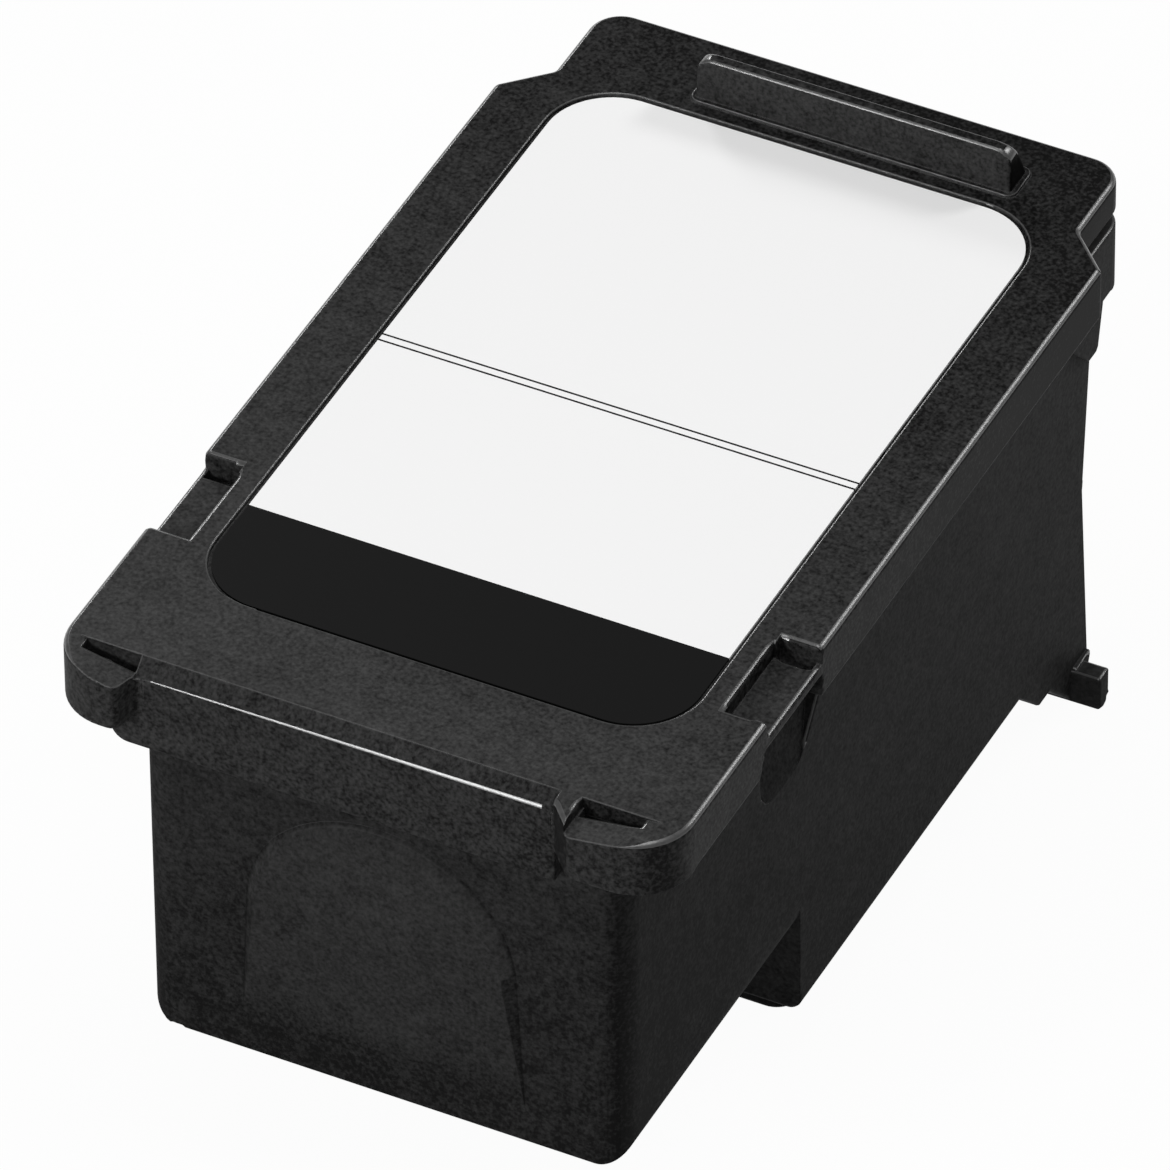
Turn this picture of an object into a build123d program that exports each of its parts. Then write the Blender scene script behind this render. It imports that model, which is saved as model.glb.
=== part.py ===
from build123d import *
import os

# Ink cartridge with its own print head, in millimetres.
# X runs across the lid, Y from the grip face to the contact face at the rear, and Z up.
# The origin is the middle of the outline, on the plane that the head's rails stand on.

os.makedirs("parts", exist_ok=True)

# Lid
lid_length = 60.7
lid_width = 36.0
lid_top = 36.2  # the plate's upper face above the resting plane
plate = 1.3
rim_depth = 3.4  # from the upper face to the rim's lower edge
rim_wall = 1.2
lid_corner = 3.3
lid_edge = 0.4  # rounding of the upper edges
tail_inset = 2.4  # the narrow rear end stands in by this much on each side
tail_run = 6.0
tail_corner = 1.9
tail_rim = 0.9  # the tail's rim reaches below the plate by this much
tail_rim_wall = 0.9
shoulder_corner = 0.5  # where the sides turn in to the tail

# Front of the lid: two bumpers with a setback fascia between them
bumper_left = 4.6  # from the lid's side to the fascia
bumper_right = 7.2
fascia_setback = 1.6
fascia_drop = 5.5
fascia_blend = 0.6
fascia_corner = 1.0
bumper_slope = 1.5  # sideways run of the step from fascia to the right bumper
bumper_slope_left = 0.4
step_back = 2.5  # the plate's full height starts here, behind the bumpers
shelf_drop = 0.7
shelf_ridge = 1.2  # from the fascia's right end to the shelf, which the ridge bounds
slope_drop = 0.85  # top of the fascia below the plate
slit_width = 0.6
slit_right_end = 2.4  # from the lid's side to the slit
slit_left_end = 1.4
slit_start = 0.1  # from the shelf's end to the slit
shelf_fade = 1.0  # the shelf runs out level with the plate beyond the slit

# Latch ledges in the two long edges
ledge_back = 11.75  # behind the bumpers
ledge_length = 5.9
ledge_width = 2.5
ledge_drop = 1.1
ledge_wall = 0.8
ledge_land = 3.6  # width of the thickened strip under the ledge
window_length = 0.6
window_width = 2.1
window_rim = 0.3  # strip left standing outside the window
notch_lead = 0.6  # the rim is open below the ledge, from this far ahead of it
notch_corner = 0.8

# Finger tab on the tail
tab_left = -7.7
tab_right = 11.0
tab_back = 5.0  # the tab's front face, ahead of the rear edge
tab_height = 2.8
tab_top = 0.7
tab_foot = 2.1
tab_lean = 0.12
tab_corner = 1.0
tab_round = 0.2  # rounding of the crown's long edges
tab_plinth = 0.15
tab_margin = 0.3

# Label and the vent under it
label_side = 4.05  # from the lid's side
label_front = 8.45  # behind the bumpers
label_back = 6.35  # ahead of the rear edge
label_corner = 3.8
label_sheet = 0.15
label_margin = 0.2
label_recess = 0.25
vent_groove = 0.7
vent_groove_depth = 0.35
vent_pitch = 2.4
vent_turns = 5
vent_run = 9.0
vent_tail_clear = 0.05  # the groove ends just inside the recess, past the label
vent_hole = 0.9
fill_hole = 2.4
fill_spacing = 14.0

# Inside of the lid
lip_wall = 1.0
lip_depth = 1.6
press_ribs = 4
press_rib_wall = 1.0
press_rib_depth = 3.2
press_rib_pitch = 6.4

# Tank
body_inset = 3.9  # the lid overhangs the tank by this much on each side
front_gap = 2.85  # the grip face, behind the bumpers
wall = 1.5
front_floor = 10.5  # underside of the front part
nose_back = 23.7  # the nose's front, behind the bumpers
nose_floor = 4.8
body_corner = 1.8
nose_corner = 0.8
heel_run = 9.05  # start of the slope down to the heel, ahead of the rear edge
heel_ledge = 2.8  # height of the short ledge half-way down
heel_ledge_start = 7.1
heel_ledge_end = 5.75
heel_length = 2.2
heel_back = 0.76  # the heel's rear, ahead of the lid's rear edge
waist_back = 1.96
waist_height = 14.7
collar_height = 23.7
collar_step = 0.3
rim_back = 1.1
pad_low = 23.6
pad_high = 31.8
pad_low_back = 2.05
pad_high_back = 9.85
shoulder_pad = 0.35
flange_height = 5.5
flange_gap = 0.8  # the dark groove between the lid's tail and the flange
flange_chamfer = 1.2
lug_reach = 1.75
lug_length = 1.25
lug_height = 2.2
lug_back = 1.86
lug_round = 0.9
root_lift = 0.25  # the proud foot that the lug grows from
root_height = 2.3
root_length = 2.0

# Grip pad on the front wall and the two pull scoops in the sides
grip_radius = 7.9
grip_centre = 21.1
grip_flare = 0.4
grip_proud = 0.5
grip_taper = 52  # slope of the pad's sides
grip_fade = 12.6
pull_front = 19.05  # behind the bumpers
pull_width = 4.6
pull_low = 22.5
pull_lean = 0.74  # how far the rear edge leans back for each millimetre of height
pull_depth = 2.2
pull_run = 9.0
pull_corner = 1.6

# Print head
head_width = 22.8
head_front = 28.0  # behind the bumpers
head_corner = 1.5
face_width = 19.2
face_depth = 0.25
face_margin = 1.2
face_back = 2.16  # the contact wall, ahead of the lid's rear edge
face_bend = 1.4
face_top = 21.3
head_reach = 15.6  # from the contact wall to the chip's middle
chip_width = 3.6
chip_length = 15.0
chip_thick = 0.6
chip_seat = 0.7  # clear space around the chip
chip_slot = 0.5
chip_slot_length = 12.6
chip_passage = 1.2  # width of the ink passage behind the slot
passage_lip = 0.6
glue_thick = 0.08
nozzle_sheet = 0.06
nozzle_clear = 0.05  # the nozzle plate above the resting plane
flex_sheet = 0.12
flex_side = 0.5  # bare face beside the circuit
flex_end = 1.0
bead_width = 4.4
pipe_outer = 12.4
pipe_bore = 9.4
pipe_top = 10.4
filter_round = 10.8
filter_sheet = 0.25

# Contact pads
pad_width = 1.5
pad_height = 1.7
pad_corner = 0.3
pad_lift = 0.04
pad_pitch_x = 2.1
pad_pitch_z = 2.5
pad_columns = 3
pad_rows = 5
pad_split = 9.4  # between the middles of the two groups
pad_middle = 11.6

# Clearances
fit = 0.1
foam_fit = 0.25

# Places that follow from the sizes
lid_front = -lid_length / 2
lid_rear = lid_length / 2
lid_side = lid_width / 2
tail_side = lid_side - tail_inset
tail_start = lid_rear - tail_run
tail_shoulder = tail_start - (lid_side - tail_side)
tab_width = tab_right - tab_left
plate_under = lid_top - plate
rim_under = lid_top - rim_depth
fascia_left = -lid_side + bumper_left
fascia_right = lid_side - bumper_right
fascia_face = lid_front + fascia_setback
step_face = lid_front + step_back
body_side = lid_side - body_inset
body_front = lid_front + front_gap
nose_front = lid_front + nose_back
contact_wall = lid_rear - face_back
room_side = body_side - wall
room_front = body_front + wall
room_rear = contact_wall - wall
flange_top = plate_under - tail_rim - flange_gap
flange_under = flange_top - flange_height
label_width = lid_width - 2 * label_side
label_length = lid_length - label_front - label_back
label_middle = lid_front + label_front + label_length / 2
chip_under = nozzle_clear + nozzle_sheet
glue_under = chip_under + chip_thick
seat_height = glue_under + glue_thick
room_floor = nose_floor + wall
slit_right = lid_side - slit_right_end
shelf_right = fascia_right + shelf_ridge
slit_left = -lid_side + slit_left_end
land_middle = lid_side - ledge_land / 2
ledge_middle = lid_front + ledge_back + ledge_length / 2
window_middle = lid_front + ledge_back + ledge_length + window_length / 2
window_outer = lid_side - window_rim
ledge_front = lid_front + ledge_back
ledge_under = lid_top - ledge_drop - ledge_wall
window_rear = ledge_front + ledge_length + window_length
vent_start = label_middle + vent_turns * vent_pitch
vent_end = label_width / 2 + label_margin - vent_tail_clear
head_centre = contact_wall - head_reach
face_front = lid_front + head_front + face_margin
flex_width = face_width - 2 * flex_side
bend_back = contact_wall - face_bend
bend_height = face_depth + face_bend
window_length_x = chip_length + 2 * chip_seat
window_width_y = chip_width + 2 * chip_seat
bead_middle = chip_length / 2 + chip_seat / 2


def lid_outline():
    """The lid from above: bumpers, setback fascia, long sides and the narrow tail."""
    with BuildSketch() as outline:
        with BuildLine():
            FilletPolyline(
                (fascia_right + bumper_slope, lid_front),
                (lid_side, lid_front),
                (lid_side, tail_shoulder),
                (tail_side, tail_start),
                (tail_side, lid_rear),
                (-tail_side, lid_rear),
                (-tail_side, tail_start),
                (-lid_side, tail_shoulder),
                (-lid_side, lid_front),
                (fascia_left - bumper_slope_left, lid_front),
                (fascia_left, fascia_face),
                (fascia_right, fascia_face),
                radius=(
                    fascia_blend,
                    lid_corner,
                    shoulder_corner,
                    shoulder_corner,
                    tail_corner,
                    tail_corner,
                    shoulder_corner,
                    shoulder_corner,
                    lid_corner,
                    fascia_blend,
                    fascia_blend,
                    fascia_blend,
                ),
                close=True,
            )
        make_face()
    return outline.sketch


def label_outline(grow):
    """The label's rounded rectangle, grown on every side."""
    with BuildSketch() as outline:
        with Locations((0, label_middle)):
            RectangleRounded(label_width + 2 * grow, label_length + 2 * grow, label_corner + grow)
    return outline.sketch


def room_outline(inset):
    """The tank's inside from above, drawn in from the walls."""
    with BuildSketch() as outline:
        with Locations((0, (room_front + room_rear) / 2)):
            Rectangle(2 * (room_side - inset), room_rear - room_front - 2 * inset)
    return outline.sketch


def grip_pad():
    """The arched pad for a fingertip: proudest at its crown, running out downwards, with sloped sides."""
    crown = grip_centre + grip_radius
    with BuildPart() as pad:
        with BuildSketch(Plane.XZ.offset(-body_front)):
            with BuildLine():
                Line((-grip_radius, grip_centre), (-grip_radius - grip_flare, grip_fade))
                Line((-grip_radius - grip_flare, grip_fade), (grip_radius + grip_flare, grip_fade))
                Line((grip_radius + grip_flare, grip_fade), (grip_radius, grip_centre))
                ThreePointArc((grip_radius, grip_centre), (0, crown), (-grip_radius, grip_centre))
            make_face()
        extrude(amount=grip_proud, taper=grip_taper)
        with BuildSketch(Plane.YZ):
            with BuildLine():
                Polyline(
                    (body_front + wall / 2, crown),
                    (body_front - grip_proud, crown),
                    (body_front - grip_proud, grip_centre),
                    (body_front, grip_fade),
                    (body_front + wall / 2, grip_fade),
                    close=True,
                )
            make_face()
        extrude(amount=2 * grip_radius, both=True, mode=Mode.INTERSECT)
    return pad.part


def pull_scoop(grow):
    """The raked scoop in the right side wall, open upwards under the latch ledge."""
    front = lid_front + pull_front - grow
    back = lid_front + pull_front + pull_width + grow
    low = pull_low - grow
    rake = pull_lean * (plate_under - low)
    deep = body_side - pull_depth - grow
    with BuildPart() as scoop:
        with BuildSketch(Plane.YZ.offset(deep)) as side:
            with BuildLine():
                Polyline(
                    (front, low),
                    (back, low),
                    (back + rake, plate_under),
                    (front, plate_under),
                    close=True,
                )
            make_face()
            fillet(side.vertices().group_by(Axis.Y)[0], pull_corner)
        extrude(amount=pull_depth + grow + wall)
        with BuildSketch(Plane.XZ.offset(-front)):
            with BuildLine():
                Polyline(
                    (body_side + wall, low),
                    (body_side - grow, low),
                    (deep, low + pull_run),
                    (deep, plate_under),
                    (body_side + wall, plate_under),
                    close=True,
                )
            make_face()
        extrude(amount=-(pull_width + rake + 2 * grow), mode=Mode.INTERSECT)
    return scoop.part


def both_pull_scoops(grow):
    """The two pull scoops, the left one mirrored from the right."""
    with BuildPart() as pair:
        add(pull_scoop(grow))
        mirror(about=Plane.YZ)
    return pair.part


def tank_room(inset, ceiling):
    """The hollow of the tank, drawn in from its walls, up to a ceiling height."""
    with BuildPart() as room:
        with BuildSketch(Plane.YZ):
            with BuildLine():
                Polyline(
                    (room_front + inset, ceiling),
                    (room_front + inset, front_floor + wall),
                    (nose_front + wall + inset, front_floor + wall),
                    (nose_front + wall + inset, room_floor),
                    (room_rear - inset, room_floor),
                    (room_rear - inset, ceiling),
                    close=True,
                )
            make_face()
        extrude(amount=room_side - inset, both=True)
        add(both_pull_scoops(wall + inset), mode=Mode.SUBTRACT)
    return room.part


def tail_flange():
    """The flange under the lid's tail, with chamfered lower edges and rounded rear corners."""
    with BuildPart() as flange:
        with BuildSketch(Plane.YZ):
            with BuildLine():
                Polyline(
                    (lid_rear - pad_high_back, flange_top),
                    (lid_rear - pad_high_back, pad_high),
                    (lid_rear - pad_high_back + pad_high - flange_under, flange_under),
                    (lid_rear, flange_under),
                    (lid_rear, flange_top),
                    close=True,
                )
            make_face()
        extrude(amount=tail_side, both=True)
        rear_uprights = flange.edges().filter_by(Axis.Z).group_by(Axis.Y)[-1]
        fillet(rear_uprights, tail_corner)
        chamfer(flange.faces().sort_by(Axis.Z)[0].edges().filter_by(Axis.Y), flange_chamfer)
    return flange.part


def finger_tab():
    """The tab that a fingertip pushes: upright front, sloping back, rounded upper corners."""
    with BuildPart() as tab:
        with BuildSketch(Plane.YZ.offset(tab_left)):
            with BuildLine():
                Polyline(
                    (lid_rear - tab_back, lid_top - plate / 2),
                    (lid_rear - tab_back + tab_foot, lid_top - plate / 2),
                    (lid_rear - tab_back + tab_foot, lid_top + tab_plinth),
                    (lid_rear - tab_back + tab_lean + tab_top, lid_top + tab_height),
                    (lid_rear - tab_back + tab_lean, lid_top + tab_height),
                    (lid_rear - tab_back, lid_top + tab_plinth),
                    close=True,
                )
            make_face()
        extrude(amount=tab_right - tab_left)
        crown_ends = tab.faces().sort_by(Axis.Z)[-1].edges().filter_by(Axis.Y)
        fillet(crown_ends, tab_corner)
        crown = tab.faces().sort_by(Axis.Z)[-1].edges().filter_by(Axis.X)
        fillet(crown, tab_round)
    return tab.part


def inner_lip():
    """The lip that stands inside the tank's walls."""
    with BuildPart() as lip:
        with BuildSketch(Plane.XY.offset(plate_under - lip_depth)):
            add(room_outline(fit))
        extrude(amount=lip_depth)
        with BuildSketch(Plane.XY.offset(plate_under - lip_depth)):
            add(room_outline(fit + lip_wall))
        extrude(amount=lip_depth, mode=Mode.SUBTRACT)
        add(both_pull_scoops(wall + fit), mode=Mode.SUBTRACT)
    return lip.part


def disc(radius, low, high):
    """An upright disc or peg on the head's axis."""
    with BuildPart() as peg:
        with BuildSketch(Plane.XY.offset(low)):
            with Locations((0, head_centre)):
                Circle(radius)
        extrude(amount=high - low)
    return peg.part


def head_block(length, width, low, high):
    """An upright block centred on the chip."""
    with BuildPart() as block:
        with BuildSketch(Plane.XY.offset(low)):
            with Locations((0, head_centre)):
                Rectangle(length, width)
        extrude(amount=high - low)
    return block.part


# Tank: one moulding with the nose, flange, heel, lugs and the seat of the print head
with BuildPart() as tank:
    with BuildSketch(Plane.YZ):
        with BuildLine():
            Polyline(
                (body_front, plate_under),
                (body_front, front_floor),
                (nose_front, front_floor),
                (nose_front, nose_floor),
                (lid_rear - heel_run, nose_floor),
                (lid_rear - heel_ledge_start, heel_ledge),
                (lid_rear - heel_ledge_end, heel_ledge),
                (lid_rear - heel_back - heel_length, 0),
                (lid_rear - heel_back, 0),
                (lid_rear - waist_back, waist_height),
                (lid_rear - rim_back, collar_height),
                (lid_rear - rim_back, plate_under),
                close=True,
            )
        make_face()
    extrude(amount=body_side, both=True)
    front_uprights = tank.edges().filter_by(Axis.Z).group_by(Axis.Y)[0]
    front_floor_sides = tank.edges().filter_by(Axis.Y).sort_by(Axis.Y)[0:2]
    fillet(front_uprights + front_floor_sides, body_corner)
    long_edges = tank.edges().filter_by(Axis.Y)
    nose_sides = long_edges.filter_by_position(Axis.Z, nose_floor - 0.1, nose_floor + 0.1)
    fillet(nose_sides, nose_corner)
    # Collar round the rear and the proud pads beside it
    with BuildSketch(Plane.YZ):
        with BuildLine():
            Polyline(
                (lid_rear - pad_high_back, pad_high),
                (lid_rear - pad_low_back, pad_low),
                (lid_rear - rim_back, pad_low),
                (lid_rear - rim_back + collar_step, pad_low + collar_step),
                (lid_rear, flange_under),
                (lid_rear, flange_top),
                (lid_rear - pad_high_back, flange_top),
                close=True,
            )
        make_face()
    extrude(amount=body_side + shoulder_pad, both=True)
    # Flange under the lid's tail
    add(tail_flange())
    # Print head block under the nose
    with BuildSketch() as block:
        with BuildLine():
            Polyline(
                (-head_width / 2, lid_front + head_front),
                (head_width / 2, lid_front + head_front),
                (head_width / 2, lid_rear - heel_back - heel_length),
                (-head_width / 2, lid_rear - heel_back - heel_length),
                close=True,
            )
        make_face()
        fillet(block.vertices().group_by(Axis.Y)[0], head_corner)
    extrude(amount=nose_floor)
    # Lugs at the heel, each on a proud foot
    with BuildSketch(Plane.YZ):
        with BuildLine():
            Polyline(
                (lid_rear - lug_back - lug_length, 0),
                (lid_rear - lug_back, 0),
                (lid_rear - lug_back + root_length - lug_length, root_height - root_lift),
                (lid_rear - lug_back + root_length - lug_length, root_height),
                (lid_rear - lug_back - lug_length + root_lift, root_height),
                (lid_rear - lug_back - lug_length, root_height - root_lift),
                close=True,
            )
        make_face()
    extrude(amount=body_side + root_lift, both=True)
    with BuildSketch(Plane.YZ) as lug_end:
        with Locations((lid_rear - lug_back - lug_length / 2, lug_height / 2)):
            Rectangle(lug_length, lug_height)
        fillet(lug_end.vertices().group_by(Axis.X)[-1].sort_by(Axis.Y)[0], lug_round)
    extrude(amount=body_side + lug_reach, both=True)
    # Scoops
    add(grip_pad())
    add(both_pull_scoops(0), mode=Mode.SUBTRACT)
    # Hollow, with the standpipe left in it
    add(tank_room(0, plate_under), mode=Mode.SUBTRACT)
    add(disc(pipe_outer / 2, room_floor - wall / 2, pipe_top))
    add(disc(pipe_bore / 2, nose_floor - wall / 2, pipe_top + wall), mode=Mode.SUBTRACT)
    # Ink passage fanning out from the standpipe to the chip's slot
    with BuildSketch(Plane.XZ.offset(-head_centre)):
        with BuildLine():
            Polyline(
                (-pipe_bore / 2, nose_floor),
                (-chip_slot_length / 2, seat_height + passage_lip),
                (-chip_slot_length / 2, seat_height - wall),
                (chip_slot_length / 2, seat_height - wall),
                (chip_slot_length / 2, seat_height + passage_lip),
                (pipe_bore / 2, nose_floor),
                close=True,
            )
        make_face()
    extrude(amount=chip_passage / 2, both=True, mode=Mode.SUBTRACT)
    # Face for the flexible circuit, carried round the heel and up the rear wall
    with BuildSketch(Plane.YZ):
        with BuildLine():
            Line((face_front, face_depth), (bend_back, face_depth))
            CenterArc((bend_back, bend_height), face_bend, -90, 90)
            Line((contact_wall, bend_height), (contact_wall, face_top))
            Line((contact_wall, face_top), (lid_rear + wall, face_top))
            Line((lid_rear + wall, face_top), (lid_rear + wall, -wall))
            Line((lid_rear + wall, -wall), (face_front, -wall))
            Line((face_front, -wall), (face_front, face_depth))
        make_face()
    extrude(amount=face_width / 2, both=True, mode=Mode.SUBTRACT)
    add(head_block(window_length_x, window_width_y, -wall, seat_height), mode=Mode.SUBTRACT)
tank.part.label = "tank_body"
export_step(tank.part, "parts/tank_body.step")

# Lid: one moulding with its rim, fascia, finger tab and the lip that closes the tank
with BuildPart() as lid:
    with BuildSketch(Plane.XY.offset(plate_under)):
        add(lid_outline())
    extrude(amount=plate)
    with BuildSketch(Plane.XY.offset(rim_under)):
        add(lid_outline())
        offset(lid_outline(), amount=-rim_wall, mode=Mode.SUBTRACT)
        with Locations((0, lid_rear)):
            Rectangle(lid_width, 2 * tail_run, mode=Mode.SUBTRACT)
        with Locations((0, lid_rear)):
            Rectangle(2 * (tail_side + fit), 2 * (pad_high_back + fit), mode=Mode.SUBTRACT)
    extrude(amount=rim_depth - plate)
    with BuildSketch(Plane.XY.offset(plate_under - tail_rim)):
        add(lid_outline())
        offset(lid_outline(), amount=-tail_rim_wall, mode=Mode.SUBTRACT)
    extrude(amount=tail_rim)
    fillet(lid.faces().sort_by(Axis.Z)[-1].edges(), lid_edge)
    # Fascia between the bumpers
    with BuildSketch(Plane.XZ.offset(-fascia_face)) as front:
        with BuildLine():
            Polyline(
                (fascia_left - bumper_slope, plate_under),
                (fascia_left - bumper_slope, lid_top - fascia_drop),
                (fascia_right, lid_top - fascia_drop),
                (fascia_right, plate_under),
                close=True,
            )
        make_face()
        fillet(front.vertices().group_by(Axis.Y)[0].sort_by(Axis.X)[0], fascia_corner)
    extrude(amount=-(body_front - fit - fascia_face))
    with BuildSketch(Plane.YZ.offset(fascia_left)):
        with BuildLine():
            Polyline(
                (step_face, lid_top + plate),
                (step_face, lid_top),
                (fascia_face, lid_top - slope_drop),
                (lid_front - plate, lid_top - slope_drop),
                (lid_front - plate, lid_top + plate),
                close=True,
            )
        make_face()
    extrude(amount=fascia_right - fascia_left, mode=Mode.SUBTRACT)
    # Shelves on the bumpers, sloping out level at their ends, each with a slit along its rear
    with BuildSketch(Plane.XZ.offset(-step_face)):
        with BuildLine():
            Polyline(
                (shelf_right, lid_top + plate),
                (shelf_right, lid_top - shelf_drop),
                (slit_right + shelf_fade, lid_top),
                (slit_right + shelf_fade, lid_top + plate),
                close=True,
            )
        make_face()
        with BuildLine():
            Polyline(
                (fascia_left, lid_top + plate),
                (fascia_left, lid_top - shelf_drop),
                (slit_left - shelf_fade / 2, lid_top),
                (slit_left - shelf_fade / 2, lid_top + plate),
                close=True,
            )
        make_face()
    extrude(amount=step_back + plate, mode=Mode.SUBTRACT)
    with BuildSketch(Plane.XY.offset(plate_under - plate)):
        with Locations(((shelf_right + slit_start + slit_right) / 2, step_face - slit_width / 2)):
            Rectangle(slit_right - shelf_right - slit_start, slit_width)
        with Locations(((fascia_left - slit_start + slit_left) / 2, step_face - slit_width / 2)):
            Rectangle(fascia_left - slit_start - slit_left, slit_width)
    extrude(amount=3 * plate, mode=Mode.SUBTRACT)
    # Latch ledges on a thickened strip, and the windows behind them
    with BuildSketch(Plane.XY.offset(lid_top - ledge_drop - ledge_wall)):
        with Locations((land_middle, ledge_middle), (-land_middle, ledge_middle)):
            Rectangle(ledge_land, ledge_length + 2 * ledge_wall)
    extrude(amount=ledge_wall + ledge_drop - plate / 2)
    with BuildSketch(Plane.XY.offset(lid_top - ledge_drop)):
        with Locations((lid_side, ledge_middle), (-lid_side, ledge_middle)):
            Rectangle(2 * ledge_width, ledge_length)
        with Locations((lid_side, window_middle), (-lid_side, window_middle)):
            Rectangle(2 * (window_width + window_rim), window_length)
    extrude(amount=2 * ledge_drop, mode=Mode.SUBTRACT)
    with BuildSketch(Plane.XY.offset(rim_under - plate)):
        with Locations((window_outer - window_width / 2, window_middle)):
            Rectangle(window_width, window_length)
        with Locations((-window_outer + window_width / 2, window_middle)):
            Rectangle(window_width, window_length)
    extrude(amount=rim_depth + 2 * plate, mode=Mode.SUBTRACT)
    # Rim open below the ledges
    with BuildSketch(Plane.YZ.offset(lid_side - 2 * rim_wall)) as notch:
        with BuildLine():
            Polyline(
                (ledge_front - notch_lead, rim_under - plate),
                (ledge_front - notch_lead, ledge_under),
                (window_rear, ledge_under),
                (window_rear, rim_under - plate),
                close=True,
            )
        make_face()
        fillet(notch.vertices().group_by(Axis.Y)[-1].sort_by(Axis.X)[0], notch_corner)
    extrude(amount=3 * rim_wall, mode=Mode.SUBTRACT)
    with BuildSketch(Plane.YZ.offset(-lid_side - rim_wall)):
        add(notch.sketch)
    extrude(amount=3 * rim_wall, mode=Mode.SUBTRACT)
    # Recess for the label, the vent's winding groove and the two holes it covers
    with BuildSketch(Plane.XY.offset(lid_top - label_recess)):
        add(label_outline(label_margin))
    extrude(amount=plate, mode=Mode.SUBTRACT)
    with BuildSketch(Plane.XY.offset(lid_top - label_recess - vent_groove_depth)):
        for turn in range(vent_turns):
            with Locations((0, vent_start - turn * vent_pitch)):
                Rectangle(vent_run + vent_groove, vent_groove)
        for turn in range(vent_turns - 1):
            with Locations((vent_run / 2 * (-1) ** turn, vent_start - (turn + 0.5) * vent_pitch)):
                Rectangle(vent_groove, vent_pitch)
        with Locations(((vent_end - vent_groove) / 2, vent_start - (vent_turns - 1) * vent_pitch)):
            Rectangle(vent_end + vent_groove, vent_groove)
    extrude(amount=plate, mode=Mode.SUBTRACT)
    with BuildSketch(Plane.XY.offset(plate_under - plate)):
        with Locations((-vent_run / 2, vent_start)):
            Circle(vent_hole / 2)
        with Locations((0, vent_start - fill_spacing)):
            Circle(fill_hole / 2)
    extrude(amount=3 * plate, mode=Mode.SUBTRACT)
    # Finger tab on its low plinth
    with BuildSketch(Plane.XY.offset(lid_top)):
        with Locations(((tab_left + tab_right) / 2, lid_rear - tab_back + tab_foot / 2)):
            RectangleRounded(tab_width + 2 * tab_margin, tab_foot + 2 * tab_margin, 2 * tab_margin)
    extrude(amount=tab_plinth)
    add(finger_tab())
    # Lip inside the tank and the ribs that hold the absorber down
    add(inner_lip())
    with BuildSketch(Plane.XY.offset(plate_under - press_rib_depth)):
        with Locations((0, (room_front + room_rear) / 2)):
            with GridLocations(press_rib_pitch, 0, press_ribs, 1):
                Rectangle(press_rib_wall, room_rear - room_front - 2 * fit - lip_wall)
    extrude(amount=press_rib_depth)
lid.part.label = "lid"
export_step(lid.part, "parts/lid.step")

# Label over the vent and the holes
with BuildPart() as label:
    with BuildSketch(Plane.XY.offset(lid_top - label_recess)):
        add(label_outline(0))
    extrude(amount=label_sheet)
label.part.label = "label"
export_step(label.part, "parts/label.step")

# Absorber that fills the tank up to the ribs, pressed on the filter
with BuildPart() as absorber:
    add(tank_room(foam_fit, plate_under - press_rib_depth))
    add(disc(pipe_outer / 2 + foam_fit, 0, pipe_top + filter_sheet), mode=Mode.SUBTRACT)
absorber.part.label = "ink_absorber"
export_step(absorber.part, "parts/ink_absorber.step")

# Filter on the standpipe
with BuildPart() as screen:
    add(disc(filter_round / 2, pipe_top, pipe_top + filter_sheet))
screen.part.label = "filter_screen"
export_step(screen.part, "parts/filter_screen.step")

# Chip with its ink slot, the glue ring behind it and the nozzle plate in front
with BuildPart() as chip:
    add(head_block(chip_length, chip_width, chip_under, glue_under))
    add(head_block(chip_slot_length, chip_slot, 0, seat_height), mode=Mode.SUBTRACT)
chip.part.label = "heater_chip"
export_step(chip.part, "parts/heater_chip.step")

with BuildPart() as glue:
    add(head_block(chip_length, chip_width, glue_under, seat_height))
    add(head_block(chip_slot_length, chip_passage, 0, seat_height), mode=Mode.SUBTRACT)
glue.part.label = "die_adhesive"
export_step(glue.part, "parts/die_adhesive.step")

with BuildPart() as nozzles:
    add(head_block(chip_length, chip_width, nozzle_clear, chip_under))
nozzles.part.label = "nozzle_plate"
export_step(nozzles.part, "parts/nozzle_plate.step")

# Flexible circuit: under the head, round the bend and up the rear wall
with BuildPart() as flex:
    with BuildSketch(Plane.YZ):
        with BuildLine():
            Line((face_front + flex_end, face_depth), (bend_back, face_depth))
            CenterArc((bend_back, bend_height), face_bend, -90, 90)
            Line((contact_wall, bend_height), (contact_wall, face_top - flex_end))
            Line((contact_wall, face_top - flex_end), (contact_wall + flex_sheet, face_top - flex_end))
            Line((contact_wall + flex_sheet, face_top - flex_end), (contact_wall + flex_sheet, bend_height))
            CenterArc((bend_back, bend_height), face_bend + flex_sheet, 0, -90)
            Line((bend_back, face_depth - flex_sheet), (face_front + flex_end, face_depth - flex_sheet))
            Line((face_front + flex_end, face_depth - flex_sheet), (face_front + flex_end, face_depth))
        make_face()
    extrude(amount=flex_width / 2, both=True)
    add(head_block(window_length_x, window_width_y, -wall, seat_height), mode=Mode.SUBTRACT)
flex.part.label = "flex_circuit"
export_step(flex.part, "parts/flex_circuit.step")

# Contact pads in two groups on the rear wall
with BuildPart() as pads:
    with BuildSketch(Plane.XZ.offset(-(contact_wall + flex_sheet))):
        with Locations((-pad_split / 2, pad_middle), (pad_split / 2, pad_middle)):
            with GridLocations(pad_pitch_x, pad_pitch_z, pad_columns, pad_rows):
                RectangleRounded(pad_width, pad_height, pad_corner)
    extrude(amount=-pad_lift)
pads.part.label = "contact_pads"
export_step(pads.part, "parts/contact_pads.step")

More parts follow.
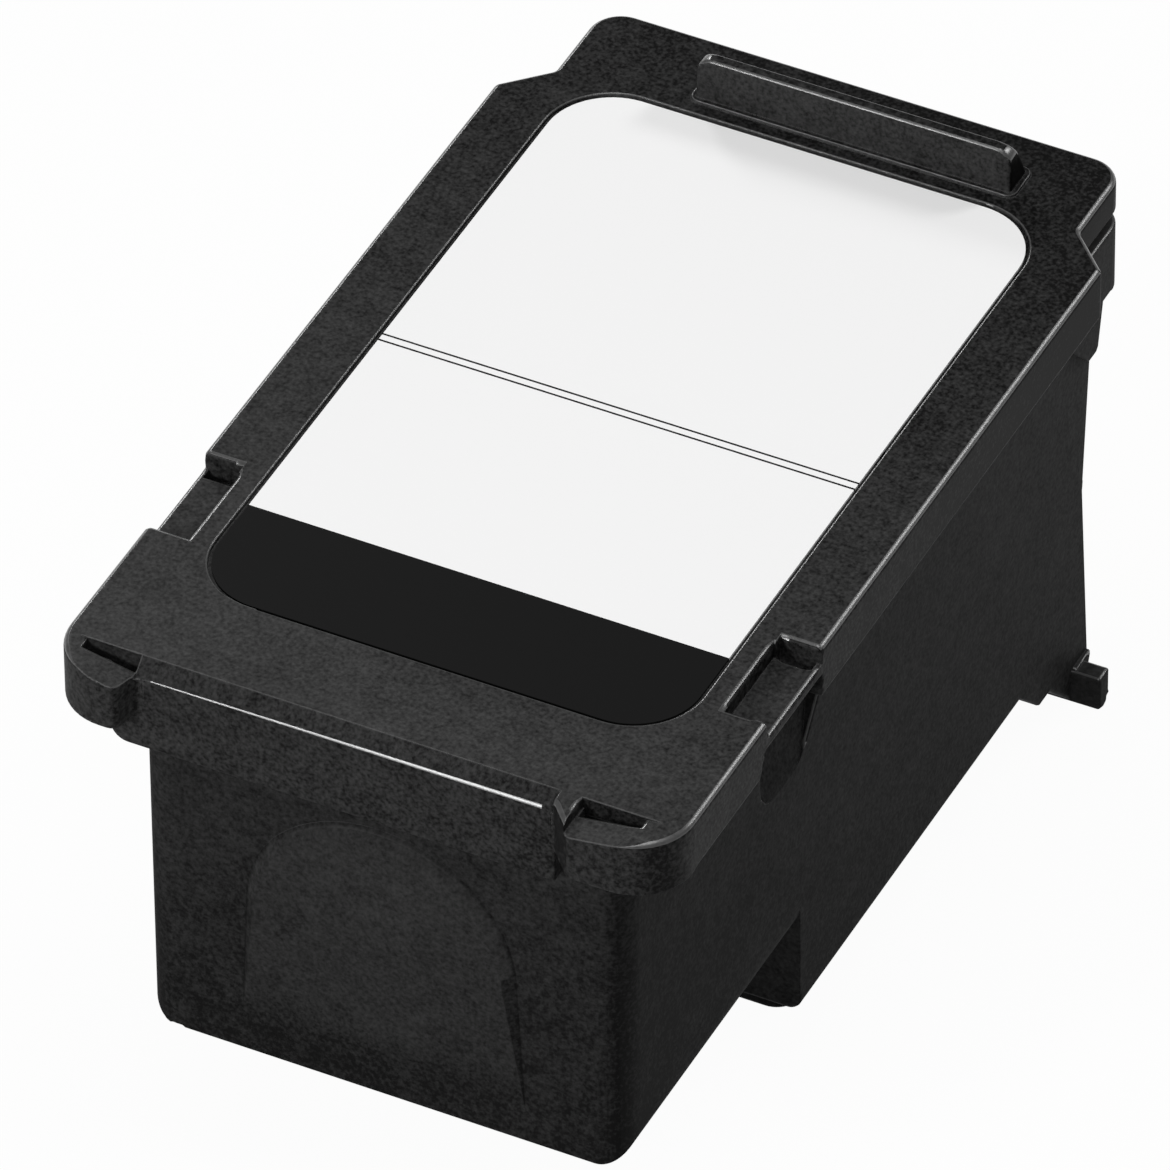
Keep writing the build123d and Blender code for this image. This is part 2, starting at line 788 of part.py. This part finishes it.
# Sealant in the gaps at the chip's two ends
with BuildPart() as beads:
    with BuildSketch(Plane.XY.offset(nozzle_clear)):
        with Locations((-bead_middle, head_centre), (bead_middle, head_centre)):
            Rectangle(chip_seat, bead_width)
    extrude(amount=seat_height - nozzle_clear)
beads.part.label = "sealant_beads"
export_step(beads.part, "parts/sealant_beads.step")
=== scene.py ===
"""An inkjet ink cartridge on a white floor: black moulded tank and lid, printed label, print head underneath."""

import math

import bmesh
import bpy
from mathutils import Euler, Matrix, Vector
from mathutils.bvhtree import BVHTree
from mathutils.kdtree import KDTree


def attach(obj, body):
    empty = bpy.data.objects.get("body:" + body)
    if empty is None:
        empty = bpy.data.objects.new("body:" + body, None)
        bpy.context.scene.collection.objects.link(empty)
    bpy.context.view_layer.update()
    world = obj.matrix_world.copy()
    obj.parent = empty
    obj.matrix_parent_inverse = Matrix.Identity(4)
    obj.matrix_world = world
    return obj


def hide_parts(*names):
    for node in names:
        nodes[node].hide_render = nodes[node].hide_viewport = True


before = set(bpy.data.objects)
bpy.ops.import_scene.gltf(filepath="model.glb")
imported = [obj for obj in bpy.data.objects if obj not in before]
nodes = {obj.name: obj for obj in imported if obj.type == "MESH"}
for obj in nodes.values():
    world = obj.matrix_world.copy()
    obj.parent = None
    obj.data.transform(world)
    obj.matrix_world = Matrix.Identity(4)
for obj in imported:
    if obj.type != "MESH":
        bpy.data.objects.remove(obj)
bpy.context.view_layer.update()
MM = 0.001
GRIT = 0.6  # how far fine blotches stand out from coarse ones


# ---------------------------------------------------------------- colours and nodes


def linear(hex_colour):
    """An sRGB hex colour as linear RGBA."""
    shares = [int(hex_colour[i : i + 2], 16) / 255 for i in (1, 3, 5)]
    return (*(c / 12.92 if c <= 0.04045 else ((c + 0.055) / 1.055) ** 2.4 for c in shares), 1.0)


def set_inputs(tree, node, inputs):
    """Sets a node's inputs: each is a value, a socket, or a node whose first live output is meant."""
    for key, value in inputs.items():
        if isinstance(value, bpy.types.Node):
            value = next(socket for socket in value.outputs if socket.enabled)
        if isinstance(value, bpy.types.NodeSocket):
            tree.links.new(value, node.inputs[key])
        else:
            node.inputs[key].default_value = value


def add_node(tree, kind, settings=None, inputs=None):
    """Adds a node: settings are its properties."""
    node = tree.nodes.new(kind)
    for key, value in (settings or {}).items():
        setattr(node, key, value)
    set_inputs(tree, node, inputs or {})
    return node


def new_material(name, colour, roughness, metallic=0.0, level=0.5):
    """A Principled material, to which patterns are then linked."""
    material = bpy.data.materials.new(name)
    material.use_nodes = True
    tree = material.node_tree
    shader = tree.nodes["Principled BSDF"]
    plain = {"Base Color": linear(colour), "Roughness": roughness, "Metallic": metallic, "Specular IOR Level": level}
    set_inputs(tree, shader, plain)
    return material, tree, shader


def mottled(name, one, other, blotch_mm, roughness, metallic=0.0):
    """A material whose colour wanders between two tones, in blotches of about blotch_mm."""
    material, tree, shader = new_material(name, one, roughness, metallic)
    place = add_node(tree, "ShaderNodeTexCoord").outputs["Object"]
    tone = add_node(
        tree,
        "ShaderNodeTexNoise",
        inputs={"Vector": place, "Scale": 1 / (blotch_mm * MM), "Detail": 3.0, "Roughness": GRIT},
    )
    tones = {"Factor": tone, "A": linear(one), "B": linear(other)}
    colour = add_node(tree, "ShaderNodeMix", {"data_type": "RGBA"}, tones)
    set_inputs(tree, shader, {"Base Color": colour})
    return material


def marked(tree, ranges, rule):
    """1 where any (MAXIMUM) or all (MINIMUM) of the values lie between their limits in millimetres."""
    inside = {"MAXIMUM": 0.0, "MINIMUM": 1.0}[rule]
    for value, low_mm, high_mm in ranges:
        limits = {0: value, 1: (low_mm + high_mm) / 2 * MM, 2: (high_mm - low_mm) / 2 * MM}
        near = add_node(tree, "ShaderNodeMath", {"operation": "COMPARE"}, limits)
        inside = add_node(tree, "ShaderNodeMath", {"operation": rule}, {0: inside, 1: near})
    return inside


# ---------------------------------------------------------------- moulded plastic

# The millimetres across, the detail and the share of the tone of each kind of blotch. A spark-eroded tool
# leaves grain of about 0.03 mm, which is too fine to show, so the finest blotches are drawn as coarse as
# they need to show as specks.
BLOTCHES = ((0.24, 2.0, 0.6), (1.0, 3.0, 0.24), (5.0, 3.0, 0.16))
DARKEST, PALEST = 0.34, 0.94  # tones beyond which the colour stays the same
SLANTED, SQUARE_ON = 0.35, 0.75  # how far a face looks to the side or to the front, for the painted shade on such faces
FRONT_MM = 20  # painted shade: front faces are darkest this far ahead of the middle, and as painted light palest as far behind it
PAD_FOOT_MM, PAD_TOP_MM = -27.53, -27.65  # the grip pad's rise from the front wall, over which painted light makes the pad paler
ROUNDING_MM = 0.14
CORNER_REACH_MM = 0.3
FLAT_AGREES = 0.97  # where smooth shading turns a face more than this, it gets no painted highlight
TURNED, UPWARD, OPEN = (0.99, 0.86), (0.25, 0.5), (0.7, 1.0)  # from no painted highlight to a full painted highlight


def painted_edge_highlight(tree, rounded):
    """1 on the outer edges that look upward, where a highlight is painted, and 0 elsewhere."""
    geometry = add_node(tree, "ShaderNodeNewGeometry").outputs
    level, alike = (
        add_node(tree, "ShaderNodeVectorMath", {"operation": "DOT_PRODUCT"}, {0: normal, 1: geometry["True Normal"]})
        for normal in (geometry["Normal"], rounded)
    )
    height = add_node(tree, "ShaderNodeSeparateXYZ", inputs={"Vector": rounded}).outputs["Z"]
    open_air = add_node(
        tree, "ShaderNodeAmbientOcclusion", {"samples": 2, "only_local": True}, {"Distance": CORNER_REACH_MM * MM}
    ).outputs["AO"]
    share = add_node(tree, "ShaderNodeMath", {"operation": "GREATER_THAN"}, {0: level, 1: FLAT_AGREES})
    for value, (none, full) in ((alike, TURNED), (height, UPWARD), (open_air, OPEN)):
        part = add_node(tree, "ShaderNodeMapRange", inputs={"Value": value, "From Min": none, "From Max": full})
        share = add_node(tree, "ShaderNodeMath", {"operation": "MULTIPLY"}, {0: part, 1: share})
    return share


def moulded_plastic(
    name, dark, light, edge_highlight, roughness, level, depth_mm, light_gradient=(0, 0, 0), side_shade=0.0, front_shade=0.0, pad=0.0
):
    """ABS from a spark-eroded tool. The light gradient is painted light, the tone gained per metre along X, Y and Z;
    the last three are shares of painted shade and light.
    """
    material, tree, shader = new_material(name, dark, roughness, level=level)
    coordinates = add_node(tree, "ShaderNodeTexCoord").outputs
    place = add_node(tree, "ShaderNodeSeparateXYZ", inputs={"Vector": coordinates["Object"]}).outputs
    facing = add_node(tree, "ShaderNodeSeparateXYZ", inputs={"Vector": coordinates["Normal"]}).outputs

    tone = 0.0
    for blotch_mm, detail, share in BLOTCHES:
        pattern = {"Scale": 1 / (blotch_mm * MM), "Detail": detail, "Roughness": GRIT}
        blotches = add_node(tree, "ShaderNodeTexNoise", inputs={"Vector": coordinates["Object"], **pattern})
        tone = add_node(tree, "ShaderNodeMath", {"operation": "MULTIPLY_ADD"}, {0: blotches, 1: share, 2: tone})

    # painted light: the tone rises steadily along X, Y and Z
    painted_light = add_node(tree, "ShaderNodeVectorMath", {"operation": "DOT_PRODUCT"}, {0: coordinates["Object"], 1: light_gradient})
    # painted light: the grip pad's face is paler
    pad_span = {"Value": place["Y"], "From Min": PAD_FOOT_MM * MM, "From Max": PAD_TOP_MM * MM}
    pad_light_mask = add_node(tree, "ShaderNodeMapRange", inputs=pad_span)
    # painted shade: faces that look to the side, and front faces ahead of the middle, are darker; front faces behind
    # it are paler
    to_side = add_node(tree, "ShaderNodeMath", {"operation": "ABSOLUTE"}, {0: facing["X"]})
    to_front = add_node(tree, "ShaderNodeMath", {"operation": "MULTIPLY"}, {0: facing["Y"], 1: -1.0})
    side_shade_mask, front_shade_mask = (
        add_node(tree, "ShaderNodeMapRange", inputs={"Value": value, "From Min": SLANTED, "From Max": SQUARE_ON})
        for value in (to_side, to_front)
    )
    front_shade_span = {"From Min": -FRONT_MM * MM, "From Max": FRONT_MM * MM, "To Min": 1.0, "To Max": -1.0}
    front_shade_sign = add_node(tree, "ShaderNodeMapRange", inputs={"Value": place["Y"], **front_shade_span})
    front_shade_mask = add_node(tree, "ShaderNodeMath", {"operation": "MULTIPLY"}, {0: front_shade_mask, 1: front_shade_sign})
    shade = tone
    for value, share in ((painted_light, 1.0), (pad_light_mask, pad), (side_shade_mask, -side_shade), (front_shade_mask, -front_shade)):
        shade = add_node(tree, "ShaderNodeMath", {"operation": "MULTIPLY_ADD"}, {0: value, 1: share, 2: shade})
    ramp = add_node(tree, "ShaderNodeValToRGB", inputs={"Fac": shade})
    for stop, position, colour in zip(ramp.color_ramp.elements, (DARKEST, PALEST), (dark, light)):
        stop.position, stop.color = position, linear(colour)

    # painted highlight: the upward outer edges take the paler highlight colour
    rounding = add_node(tree, "ShaderNodeBevel", {"samples": 4}, {"Radius": ROUNDING_MM * MM})
    corners = painted_edge_highlight(tree, rounding.outputs["Normal"])
    tones = {"Factor": corners, "A": ramp, "B": linear(edge_highlight)}
    colour = add_node(tree, "ShaderNodeMix", {"data_type": "RGBA"}, tones)
    grain = {"Height": tone, "Distance": depth_mm * MM, "Strength": 1.0, "Normal": rounding}
    set_inputs(tree, shader, {"Base Color": colour, "Normal": add_node(tree, "ShaderNodeBump", inputs=grain)})
    return material


# Matt, almost without a sheen. Painted light makes it a little paler towards the front and the left, and painted shade
# darkens faces that look to the side or to the front.
lid_abs = moulded_plastic(
    "spark_eroded_abs_lid",
    dark="#0e0e0e",
    light="#515151",
    edge_highlight="#6e6e6e",
    roughness=0.5,
    level=0.035,
    depth_mm=0.009,
    light_gradient=(-1.2, -3.4, 0),
    side_shade=0.12,
    front_shade=0.13,
)
# Duller and darker than the lid. Painted light makes it paler towards the top and the rear and on the grip pad, and
# painted shade darkens faces that look to the side or to the front.
tank_abs = moulded_plastic(
    "spark_eroded_abs_tank",
    dark="#121212",
    light="#424242",
    edge_highlight="#666666",
    roughness=0.6,
    level=0.018,
    depth_mm=0.007,
    light_gradient=(0, 4.6, 6.2),
    side_shade=0.12,
    front_shade=0.04,
    pad=0.1,
)
# Edges polished by handling catch the lamps as bright lines; their paler colour is a painted highlight.
edge_polish_and_highlight = moulded_plastic(
    "abs_edge_polish_and_painted_highlight",
    dark="#363636",
    light="#5b5b5b",
    edge_highlight="#505050",
    roughness=0.3,
    level=1.0,
    depth_mm=0.002,
)

# ---------------------------------------------------------------- label

BAND_EDGE_MM = -14.77  # everything ahead of it is black
RULES_MM = (0.65, 0.14)
RULE_WIDTH_MM = 0.13
BEYOND_MM = 100

# Printed polyester film: an even, half-matt white with flat black ink on it.
label_film, tree, shader = new_material("printed_polyester_film", "#f2f2f2", 0.3, level=0.12)
place = add_node(
    tree, "ShaderNodeSeparateXYZ", inputs={"Vector": add_node(tree, "ShaderNodeTexCoord").outputs["Object"]}
).outputs
printed = [(place["Y"], -BEYOND_MM, BAND_EDGE_MM)]
printed += [(place["Y"], rule - RULE_WIDTH_MM / 2, rule + RULE_WIDTH_MM / 2) for rule in RULES_MM]
tones = {"Factor": marked(tree, printed, "MAXIMUM"), "A": linear("#f3f3f3"), "B": linear("#131313")}
set_inputs(tree, shader, {"Base Color": add_node(tree, "ShaderNodeMix", {"data_type": "RGBA"}, tones)})

# ---------------------------------------------------------------- print head

FILM_BLOTCH_MM = 4.0
TRACE_PITCH_MM = 0.42
TRACE_MM = (0.1, 0.32)  # where a trace starts and ends within its pitch
TRACED_MM = (1.25, 8.8)  # the traces' reach from the middle to the side
TRACE_LIFT_MM = 0.012

# Polyimide film over copper: glossy amber, with the traces showing through as paler lines. Real traces
# stand about 0.1 mm apart, so they are drawn as coarse as they need to show.
amber, tree, shader = new_material("polyimide_over_copper", "#9c5a24", 0.28)
coordinates = add_node(tree, "ShaderNodeTexCoord").outputs["Object"]
blotches = add_node(tree, "ShaderNodeTexNoise", inputs={"Vector": coordinates, "Scale": 1 / (FILM_BLOTCH_MM * MM)})
tones = {"Factor": blotches, "A": linear("#8f4f1e"), "B": linear("#a7642c")}
ground = add_node(tree, "ShaderNodeMix", {"data_type": "RGBA"}, tones)
across = add_node(tree, "ShaderNodeSeparateXYZ", inputs={"Vector": coordinates}).outputs["X"]
outward = add_node(tree, "ShaderNodeMath", {"operation": "ABSOLUTE"}, {0: across})
step = add_node(tree, "ShaderNodeMath", {"operation": "MODULO"}, {0: outward, 1: TRACE_PITCH_MM * MM})
trace = marked(tree, [(step, *TRACE_MM), (outward, *TRACED_MM)], "MINIMUM")
tones = {"Factor": trace, "A": ground, "B": linear("#bd7a3a")}
colour = add_node(tree, "ShaderNodeMix", {"data_type": "RGBA"}, tones)
lifted = add_node(tree, "ShaderNodeBump", inputs={"Height": trace, "Distance": TRACE_LIFT_MM * MM})
set_inputs(tree, shader, {"Base Color": colour, "Normal": lifted})

NOZZLE_PITCH_MM = 0.17
NOZZLE_MM = (0.04, 0.12)  # where a nozzle starts and ends within its pitch
NOZZLE_ROW_MM = (0.42, 0.5)  # from the ink slot's middle
NOZZLES_REACH_MM = 6.4

# Nozzle film: smooth and brown, with a dark dotted row on each side of the ink slot. Real nozzles are
# about 0.02 mm wide, so they are drawn as coarse as they need to show.
film, tree, shader = new_material("nozzle_film", "#4a3b2a", 0.2)
place = add_node(
    tree, "ShaderNodeSeparateXYZ", inputs={"Vector": add_node(tree, "ShaderNodeTexCoord").outputs["Object"]}
).outputs
film_points = [vertex.co.y for vertex in nodes["nozzle_plate"].data.vertices]
slot_y = sum(film_points) / len(film_points)
from_slot = add_node(tree, "ShaderNodeMath", {"operation": "SUBTRACT"}, {0: place["Y"], 1: slot_y})
from_slot, along = (
    add_node(tree, "ShaderNodeMath", {"operation": "ABSOLUTE"}, {0: value}) for value in (from_slot, place["X"])
)
pitch = add_node(tree, "ShaderNodeMath", {"operation": "MODULO"}, {0: along, 1: NOZZLE_PITCH_MM * MM})
holes = [(from_slot, *NOZZLE_ROW_MM), (pitch, *NOZZLE_MM), (along, 0, NOZZLES_REACH_MM)]
tones = {"Factor": marked(tree, holes, "MINIMUM"), "A": linear("#4f3f2c"), "B": linear("#0d0b09")}
set_inputs(tree, shader, {"Base Color": add_node(tree, "ShaderNodeMix", {"data_type": "RGBA"}, tones)})

WIRE_PITCH_MM = 0.2
WIRE_MM = 0.11

# Woven steel mesh: bright wires and dark openings. A real weave has a pitch of about 0.03 mm, so it is
# drawn as coarse as it needs to show.
steel, tree, shader = new_material("woven_steel_mesh", "#9a9a98", 0.45, metallic=1.0)
place = add_node(
    tree, "ShaderNodeSeparateXYZ", inputs={"Vector": add_node(tree, "ShaderNodeTexCoord").outputs["Object"]}
).outputs
wires = []
for axis in ("X", "Y"):
    way = add_node(tree, "ShaderNodeMath", {"operation": "ABSOLUTE"}, {0: place[axis]})
    way = add_node(tree, "ShaderNodeMath", {"operation": "MODULO"}, {0: way, 1: WIRE_PITCH_MM * MM})
    wires.append((way, 0, WIRE_MM))
tones = {"Factor": marked(tree, wires, "MAXIMUM"), "A": linear("#1c1c1c"), "B": linear("#a4a4a2")}
set_inputs(tree, shader, {"Base Color": add_node(tree, "ShaderNodeMix", {"data_type": "RGBA"}, tones)})

# Gold plating on copper: bright and warm, a little uneven.
gold = mottled("gold_plated_copper", "#c08a32", "#ecc066", 1.0, 0.3, metallic=1.0)
# Polished silicon: a smooth dark grey that mirrors the lamps.
silicon = mottled("polished_silicon", "#44464c", "#505258", 2.0, 0.12)
# Cured epoxy: glossy, and nearly black.
epoxy = mottled("cured_epoxy", "#141210", "#1f1c19", 0.6, 0.25)
# Fibre soaked with ink: black and wholly matt.
fibre = mottled("ink_soaked_fibre", "#0b0b0f", "#1c1c22", 0.4, 0.9)

finishes = {
    "tank_body": tank_abs,
    "lid": lid_abs,
    "label": label_film,
    "contact_pads": gold,
    "flex_circuit": amber,
    "filter_screen": steel,
    "heater_chip": silicon,
    "die_adhesive": epoxy,
    "sealant_beads": epoxy,
    "nozzle_plate": film,
    "ink_absorber": fibre,
}
for name, material in finishes.items():
    nodes[name].data.materials.clear()
    nodes[name].data.materials.append(material)

# ---------------------------------------------------------------- mouldings with rounded edges

MERGE_MM, SLIVER_MM = 0.02, 0.01
ONE_FACE = math.radians(0.6)  # faces that turn less are merged
CUT_FROM = 0.6  # radians; longer edges that turn more get a cut near each end
ROUNDED_FROM = math.radians(35)
SHARP_FROM = math.radians(38)
LEAST_MM = 0.02  # narrower roundings are left out
FACE_SHARE, CORNER_SHARE, PLAIN_SHARE = 0.42, 0.45, 0.85  # of a face, or of an edge that is rounded or not
NEAR_TURN, CORNER_TURN, PLAIN_TURN = 25, 125, 155  # degrees between which such an edge limits its neighbour
TOUCHING = 1e-7  # metres
TRIES, HALVINGS, LEAST_WEIGHT = 14, 5, 0.1  # a folded edge's rounding is halved at first, and then left out
FOLD_REACH, FOLD_REACH_GROWTH = 0.4, 0.2  # of the radius, at the first try and at each one after it
SPECK = 1e-11  # square metres, below which a triangle doesn't show
TURNED_OVER = 0.05
ILL_SHADED = 0.85  # where smooth shading turns a steep face more than this, it is shaded flat
STEEP, LEVEL = 0.4, 0.96  # how far a face looks up; edges with the polish and painted highlight lie between them


def room_across(face, edge):
    """How far the face reaches inward from the edge, at three places along it."""
    loop = next(corner for corner in face.loops if corner.edge is edge)
    start, end = loop.vert.co, loop.link_loop_next.vert.co
    way = (end - start).normalized()
    side = face.normal.cross(way)
    room = 1.0
    for share in (0.2, 0.5, 0.8):
        base = start.lerp(end, share)
        for other in face.loops:
            if other.edge is edge:
                continue
            a, b = other.vert.co - base, other.link_loop_next.vert.co - base
            along_a, along_b = a.dot(way), b.dot(way)
            if (along_a > 0) == (along_b > 0):
                continue
            reach = a.dot(side) + along_a / (along_a - along_b) * (b - a).dot(side)
            if reach > TOUCHING:
                room = min(room, reach)
    return room


def rounding_width(edge, sharp, width):
    """The rounding that the edge's faces and its neighbours leave room for."""
    width = min(width, FACE_SHARE * min(room_across(face, edge) for face in edge.link_faces))
    for vert in edge.verts:
        out = edge.other_vert(vert).co - vert.co
        for other in vert.link_edges:
            if other is edge:
                continue
            run = other.other_vert(vert).co - vert.co
            turn = math.degrees(out.angle(run, 0))
            if other in sharp and NEAR_TURN < turn < CORNER_TURN:
                width = min(width, CORNER_SHARE * run.length * math.sin(math.radians(turn)))
            elif other not in sharp and set(other.link_faces) & set(edge.link_faces) and NEAR_TURN < turn < PLAIN_TURN:
                width = min(width, PLAIN_SHARE * run.length * math.sin(math.radians(turn)))
    return width


def whole_faces(mesh):
    """The solid's loose triangles as one closed shape, with one face for each flat side."""
    shape = bmesh.new()
    shape.from_mesh(mesh)
    bmesh.ops.remove_doubles(shape, verts=shape.verts, dist=MERGE_MM * MM)
    bmesh.ops.dissolve_degenerate(shape, edges=shape.edges, dist=SLIVER_MM * MM)
    bmesh.ops.dissolve_limit(
        shape, angle_limit=ONE_FACE, verts=shape.verts, edges=shape.edges, use_dissolve_boundaries=False
    )
    return shape


def cut_near_ends(shape, end):
    """Cuts long corners near both ends, so that a rounding can narrow there alone."""
    for edge in [edge for edge in shape.edges if edge.calc_length() > 3 * end and edge.calc_face_angle(0) > CUT_FROM]:
        rest, cut = bmesh.utils.edge_split(edge, edge.verts[0], end / edge.calc_length())
        if rest.calc_length() < edge.calc_length():
            rest = edge
        bmesh.utils.edge_split(rest, rest.other_vert(cut), end / rest.calc_length())
    shape.normal_update()


def as_surface(shape):
    """The shape as triangles that can be searched for the nearest point."""
    triangles = shape.copy()
    bmesh.ops.triangulate(triangles, faces=triangles.faces)
    surface = BVHTree.FromBMesh(triangles)
    triangles.free()
    return surface


def folded_faces(mesh, surface):
    """Triangles of the mesh that face away from the surface they lie on."""
    shape = bmesh.new()
    shape.from_mesh(mesh)
    bmesh.ops.triangulate(shape, faces=shape.faces)
    shape.normal_update()
    corners = []
    for face in shape.faces:
        normal = surface.find_nearest(face.calc_center_median())[1]
        if face.calc_area() > SPECK and face.normal.dot(normal) < TURNED_OVER:
            corners.append([vert.co.copy() for vert in face.verts])
    shape.free()
    return corners


def evaluated_copy(piece):
    """The piece with its modifiers, as a mesh of its own."""
    return bpy.data.meshes.new_from_object(piece.evaluated_get(bpy.context.evaluated_depsgraph_get()))


def round_edges(piece, shape, radius, hidden):
    """Rounds the shape's outer edges. Where that folds a face over, they get less of it, and in the end none."""
    surface = as_surface(shape)
    weight = shape.edges.layers.float.new("bevel_weight_edge")
    sharp = [
        edge
        for edge in shape.edges
        if len(edge.link_faces) == 2
        and edge.is_convex
        and edge.calc_face_angle() > ROUNDED_FROM
        and not hidden((edge.verts[0].co + edge.verts[1].co) / 2 / MM)
    ]
    rounded = []
    among = set(sharp)
    for edge in sharp:
        width = rounding_width(edge, among, radius)
        if width > LEAST_MM * MM:
            edge[weight] = min(1.0, width / radius)
            rounded.append(edge)
    bevel = piece.modifiers.new("round", "BEVEL")
    bevel.limit_method = "WEIGHT"
    bevel.width = radius
    bevel.segments = 2
    bevel.use_clamp_overlap = False
    # roundings get the second material, whose paler colour is a painted highlight
    bevel.material = 1
    for attempt in range(TRIES):
        shape.to_mesh(piece.data)
        piece.data.update()
        finished = evaluated_copy(piece)
        folded = folded_faces(finished, surface)
        if not folded:
            break
        points = KDTree(len(rounded) * 5)
        for index, edge in enumerate(rounded):
            for share in (0, 0.25, 0.5, 0.75, 1):
                points.insert(edge.verts[0].co.lerp(edge.verts[1].co, share), index)
        points.balance()
        nearby = (FOLD_REACH + FOLD_REACH_GROWTH * attempt) * radius
        for corner in (corner for corners in folded for corner in corners):
            for place, index, gap in points.find_range(corner, nearby):
                less = rounded[index][weight] * 0.5
                rounded[index][weight] = less if attempt < HALVINGS and less > LEAST_WEIGHT else 0.0
    piece.modifiers.clear()
    piece.data = finished


def set_shading(piece, narrow):
    """Smooth roundings beside flat faces, with the polished, painted-highlight material on narrow faces that look
    upward.
    """
    mesh = piece.data
    for polygon in mesh.polygons:
        polygon.use_smooth = True
    mesh.set_sharp_from_angle(angle=SHARP_FROM)
    steep = [
        polygon
        for polygon in mesh.polygons
        if polygon.normal.z < STEEP
        and any(mesh.corner_normals[i].vector.dot(polygon.normal) < ILL_SHADED for i in polygon.loop_indices)
    ]
    for polygon in steep:
        polygon.use_smooth = False
    for polygon in mesh.polygons:
        points = [mesh.vertices[index].co for index in polygon.vertices]
        longest = max((points[i] - points[i - 1]).length for i in range(len(points)))
        # narrow upward faces get that material too, with its painted highlight
        if polygon.area / longest < narrow and polygon.normal.z < LEVEL:
            polygon.material_index = 1
        if polygon.normal.z < STEEP:
            polygon.material_index = 0
    flatten = piece.modifiers.new("flat_faces_stay_flat", "WEIGHTED_NORMAL")
    flatten.keep_sharp = True
    flatten.weight = 100
    flatten.thresh = 0.02
    piece.data = evaluated_copy(piece)
    piece.modifiers.clear()


def rounded_moulding(node, piece_name, ground, radius_mm, narrow_mm, hidden):
    """The moulding's solid with its outer edges rounded, as a moulding tool leaves them, except where hidden."""
    mesh = nodes[node].data.copy()
    mesh.materials.clear()
    for material in (ground, edge_polish_and_highlight):
        mesh.materials.append(material)
    piece = bpy.data.objects.new(piece_name, mesh)
    bpy.context.scene.collection.objects.link(piece)
    shape = whole_faces(mesh)
    cut_near_ends(shape, 2 * radius_mm * MM)
    round_edges(piece, shape, radius_mm * MM, hidden)
    shape.free()
    set_shading(piece, narrow_mm * MM)
    piece.data.name = piece_name
    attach(piece, "root")
    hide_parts(node)


def lid_hidden(place):
    """Under the label, within the tank's walls, below the bumpers, or the soft crease above the fascia."""
    under_label = abs(place.x) < 13.9 and -22 < place.y < 24.1 and place.z < 36.1
    in_walls = abs(place.x) < 14.05 and -27.4 < place.y < 28.4 and place.z < 34.95
    under_bumper = place.y < -27 and place.z < 34.5
    crease = abs(place.y + 27.85) < 0.05 and place.z > 36.15
    return under_label or in_walls or under_bumper or crease


def tank_hidden(place):
    """Within the tank's own walls, or the grip pad's soft border."""
    low = place.z < 4.9 or (place.z < 10.6 and place.y < -6)
    pad = place.y < -27.1 and abs(place.x) < 9 and place.z > 11
    return pad or (abs(place.x) < 12.7 and -26.1 < place.y < 26.8 and not low)


rounded_moulding(
    "lid", "lid_moulding", lid_abs, radius_mm=0.24, narrow_mm=0.09, hidden=lid_hidden
)
rounded_moulding(
    "tank_body", "tank_moulding", tank_abs, radius_mm=0.18, narrow_mm=0.0, hidden=tank_hidden
)

# ---------------------------------------------------------------- floor, lights and camera

FLOOR_REACH = 3.0
FLOOR_GLOW = 0.96  # the share of plain white that the camera, metal and glass see in the floor

floor_mesh = bpy.data.meshes.new("floor")
corners = [(x * FLOOR_REACH, y * FLOOR_REACH, 0) for x, y in ((-1, -1), (1, -1), (1, 1), (-1, 1))]
floor_mesh.from_pydata(corners, [], [(0, 1, 2, 3)])
floor = bpy.data.objects.new("floor", floor_mesh)
bpy.context.scene.collection.objects.link(floor)
# White paper: matt, with a soft shadow, and near-white to the camera.
floor_paint, tree, shader = new_material("white_paper_floor", "#dcdcdc", 0.9)
glow = add_node(tree, "ShaderNodeEmission", inputs={"Color": (1, 1, 1, 1), "Strength": 1.0})
rays = add_node(tree, "ShaderNodeLightPath").outputs
seen = rays["Is Camera Ray"]
for kind in ("Is Glossy Ray", "Is Transmission Ray"):
    seen = add_node(tree, "ShaderNodeMath", {"operation": "MAXIMUM"}, {0: seen, 1: rays[kind]})
share = add_node(tree, "ShaderNodeMath", {"operation": "MULTIPLY"}, {0: seen, 1: FLOOR_GLOW})
mix = add_node(tree, "ShaderNodeMixShader", inputs={0: share, 1: shader, 2: glow})
set_inputs(tree, tree.nodes["Material Output"], {"Surface": mix})
floor_mesh.materials.append(floor_paint)

AIM = Vector((0, 0, 0.02))


def softbox(name, place, side, power):
    """A square area lamp aimed at the cartridge."""
    lamp = bpy.data.lights.new(name, "AREA")
    lamp.shape = "SQUARE"
    lamp.size = side
    lamp.energy = power
    lamp_object = bpy.data.objects.new(name, lamp)
    lamp_object.location = place
    lamp_object.rotation_euler = (AIM - Vector(place)).to_track_quat("-Z", "Y").to_euler()
    bpy.context.scene.collection.objects.link(lamp_object)


# One lamp overhead gives the level. The others each mirror in one kind of rounded edge.
softbox("overhead", (0.08, -0.12, 0.8), 0.4, 3.05)
softbox("back_right", (0.4, 0.54, 0.46), 0.14, 1.4)
softbox("back_left", (-0.5, 0.53, 0.35), 0.14, 1.2)
softbox("front_left", (-0.27, -0.69, 0.34), 0.14, 3.4)

world = bpy.data.worlds.new("studio")
bpy.context.scene.world = world
world.use_nodes = True
set_inputs(world.node_tree, world.node_tree.nodes["Background"], {"Color": (1, 1, 1, 1), "Strength": 0.15})

camera_data = bpy.data.cameras.new("camera")
camera_data.sensor_width = 36.0
camera_data.lens = 519.8
camera_data.clip_start, camera_data.clip_end = 0.05, 20
camera = bpy.data.objects.new("camera", camera_data)
camera.location = (0.303871, -0.604504, 0.609689)
camera.rotation_euler = Euler([math.radians(a) for a in (49.1339, 0.4590, 26.4273)])
bpy.context.scene.collection.objects.link(camera)
bpy.context.scene.camera = camera
bpy.context.scene.view_settings.view_transform = "Standard"
